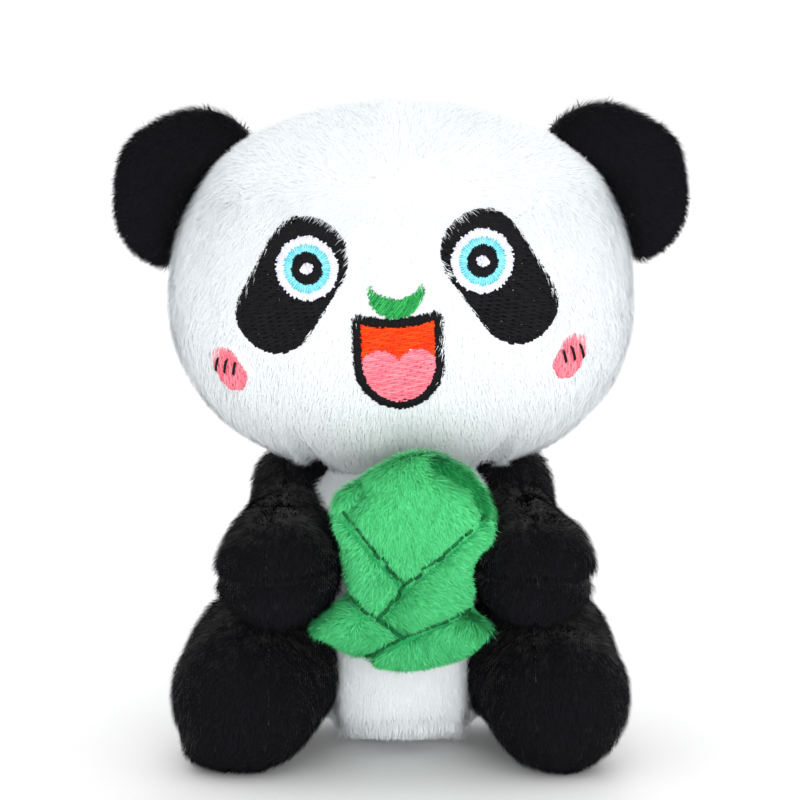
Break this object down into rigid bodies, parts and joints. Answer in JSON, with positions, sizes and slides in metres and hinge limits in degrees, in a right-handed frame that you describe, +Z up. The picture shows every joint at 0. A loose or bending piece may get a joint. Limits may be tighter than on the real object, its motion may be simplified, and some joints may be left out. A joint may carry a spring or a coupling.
{
  "type": "plush panda",
  "caption": "Small sitting plush panda with a round embroidered face, holding a green bamboo shoot between its paws; the head, ears, arms, legs, shoot and tail give on sprung seams.",
  "frame": {"origin": "centre of the flat seat under the torso, on the surface that the toy sits on", "axes": "+Z up through the head; -Y is where the face and the bamboo shoot point; +X is the toy's own left"},
  "size_m": [0.1132, 0.0826, 0.1275],
  "materials": {
    "white_plush": "short dense matt pile, white",
    "black_plush": "short dense matt pile, black",
    "green_plush": "very short velvety pile, leaf green",
    "fibre_fill": "loose white polyester fibre",
    "stabiliser": "matt non-woven",
    "black_satin": "satin stitch in soft black thread",
    "white_satin": "satin stitch in white thread",
    "blue_satin": "satin stitch in pale blue thread",
    "green_satin": "satin stitch in green thread",
    "orange_satin": "satin stitch in orange thread",
    "pink_satin": "satin stitch in pink thread",
    "white_thread": "matt sewing thread",
    "green_thread": "matt sewing thread"
  },
  "bodies": {
    "torso": {"belly_panel": "white_plush", "back_yoke": "black_plush", "back_panel_left": "white_plush", "back_panel_right": "white_plush", "base_panel": "white_plush", "torso_stuffing": "fibre_fill", "back_closing_stitch": "white_thread"},
    "neck_gather": {"neck_gather_thread": "white_thread"},
    "neck_stitch": {"neck_ladder_stitch": "white_thread"},
    "head": {"face_panel": "white_plush", "head_back_left": "white_plush", "head_back_right": "white_plush", "face_stabiliser": "stabiliser", "head_stuffing": "fibre_fill", "nose": "green_satin", "mouth_outline": "black_satin", "mouth_fill": "orange_satin", "tongue": "pink_satin", "eye_patch_left": "black_satin", "eye_patch_right": "black_satin", "eye_white_left": "white_satin", "eye_white_right": "white_satin", "iris_left": "blue_satin", "iris_right": "blue_satin", "pupil_left": "black_satin", "pupil_right": "black_satin", "eye_glint_left": "white_satin", "eye_glint_right": "white_satin", "cheek_blush_left": "pink_satin", "cheek_blush_right": "pink_satin", "cheek_marks_left": "black_satin", "cheek_marks_right": "black_satin"},
    "tail": {"tail_panel": "white_plush", "tail_stuffing": "fibre_fill"},
    "shoot": {"shoot_front": "green_plush", "shoot_back": "green_plush", "shoot_stuffing": "fibre_fill", "shoot_topstitching": "green_thread", "paw_tacks": "green_thread"},
    "ear_left": {"ear_front_left": "black_plush", "ear_back_left": "black_plush", "ear_stuffing_left": "fibre_fill"},
    "arm_left": {"arm_outer_left": "black_plush", "arm_inner_left": "black_plush", "arm_stuffing_left": "fibre_fill"},
    "leg_left": {"leg_outer_left": "black_plush", "leg_inner_left": "black_plush", "leg_stuffing_left": "fibre_fill"},
    "ear_right": {"ear_front_right": "black_plush", "ear_back_right": "black_plush", "ear_stuffing_right": "fibre_fill"},
    "arm_right": {"arm_outer_right": "black_plush", "arm_inner_right": "black_plush", "arm_stuffing_right": "fibre_fill"},
    "leg_right": {"leg_outer_right": "black_plush", "leg_inner_right": "black_plush", "leg_stuffing_right": "fibre_fill"}
  },
  "joints": [
    {"name": "head_turn", "type": "hinge", "parent": "torso", "child": "neck_gather", "pos_m": [0, 0, 0.057], "axis": [0, 0, 1], "range_deg": [-15, 15], "stiffness_Nm_per_rad": 0.08},
    {"name": "head_nod", "type": "hinge", "parent": "neck_gather", "child": "neck_stitch", "pos_m": [0, 0, 0.057], "axis": [1, 0, 0], "range_deg": [-10, 4], "stiffness_Nm_per_rad": 0.08},
    {"name": "head_tilt", "type": "hinge", "parent": "neck_stitch", "child": "head", "pos_m": [0, 0, 0.057], "axis": [0, 1, 0], "range_deg": [-6, 6], "stiffness_Nm_per_rad": 0.08},
    {"name": "ear_fold_left", "type": "hinge", "parent": "head", "child": "ear_left", "pos_m": [0.04449, 0.004, 0.11414], "axis": [-0.5657, 0, 0.8246], "range_deg": [-25, 25], "stiffness_Nm_per_rad": 0.004},
    {"name": "ear_fold_right", "type": "hinge", "parent": "head", "child": "ear_right", "pos_m": [-0.04516, 0.004, 0.11281], "axis": [0.541, 0, 0.841], "range_deg": [-25, 25], "stiffness_Nm_per_rad": 0.004},
    {"name": "arm_swing_left", "type": "hinge", "parent": "torso", "child": "arm_left", "pos_m": [0.0225, -0.003, 0.0453], "axis": [1, 0, 0], "range_deg": [-4, 3], "stiffness_Nm_per_rad": 0.04},
    {"name": "arm_swing_right", "type": "hinge", "parent": "torso", "child": "arm_right", "pos_m": [-0.0225, -0.003, 0.0453], "axis": [1, 0, 0], "range_deg": [-4, 3], "stiffness_Nm_per_rad": 0.04},
    {"name": "shoot_rock", "type": "hinge", "parent": "arm_left", "child": "shoot", "pos_m": [0, -0.0306, 0.0414], "axis": [1, 0, 0], "range_deg": [-2, 5], "stiffness_Nm_per_rad": 0.02},
    {"name": "leg_splay_left", "type": "hinge", "parent": "torso", "child": "leg_left", "pos_m": [0.021, 0.002, 0.0175], "axis": [0, 0, 1], "range_deg": [-1.5, 12], "stiffness_Nm_per_rad": 0.04},
    {"name": "leg_splay_right", "type": "hinge", "parent": "torso", "child": "leg_right", "pos_m": [-0.021, 0.002, 0.0175], "axis": [0, 0, -1], "range_deg": [-1.5, 12], "stiffness_Nm_per_rad": 0.04},
    {"name": "tail_wag", "type": "hinge", "parent": "torso", "child": "tail", "pos_m": [0, 0.024, 0.01], "axis": [1, 0, 0], "range_deg": [-10, 10], "stiffness_Nm_per_rad": 0.004}
  ],
  "couplings": [
    {"joint": "arm_swing_right", "follows": "arm_swing_left", "ratio": 1}
  ]
}
